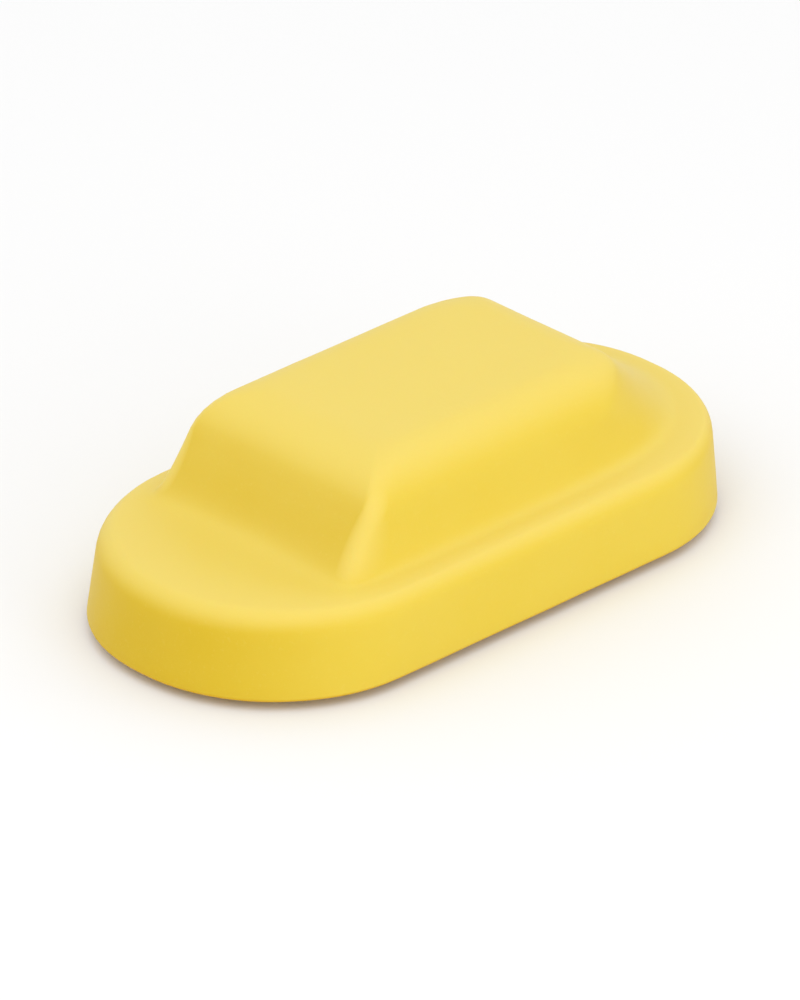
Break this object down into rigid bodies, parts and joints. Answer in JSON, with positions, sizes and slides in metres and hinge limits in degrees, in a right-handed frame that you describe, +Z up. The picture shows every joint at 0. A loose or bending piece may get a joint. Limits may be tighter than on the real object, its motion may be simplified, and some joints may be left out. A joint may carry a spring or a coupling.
{
  "type": "foam sponge applicator",
  "caption": "Hand-held foam sponge applicator: a soft moulded block with a raised grip over a bonded board and sponge pad, for spreading paint, paste or glaze.",
  "frame": {"origin": "centre of the sponge's working face, on the surface that the part rests on", "axes": "+Z up out of the working face through the grip, X along the length with the front end (longer ledge) towards -X, Y across"},
  "size_m": [0.1597, 0.0814, 0.0458],
  "materials": {
    "moulded_foam": "satin self-skinned yellow foam",
    "open_cell_sponge": "open-cell yellow sponge",
    "bond_sheet": "double-sided foam tape",
    "board_plastic": "matt sheet plastic"
  },
  "bodies": {
    "sponge": {"sponge_pad": "open_cell_sponge"},
    "grip": {"grip_body": "moulded_foam", "backing_board": "board_plastic", "upper_bond_sheet": "bond_sheet", "lower_bond_sheet": "bond_sheet"}
  },
  "joints": [
    {"name": "press", "type": "slide", "parent": "sponge", "child": "grip", "axis": [0, 0, -1], "range_m": [0, 0.002], "stiffness_N_per_m": 4000, "deforming": ["sponge_pad"]}
  ]
}
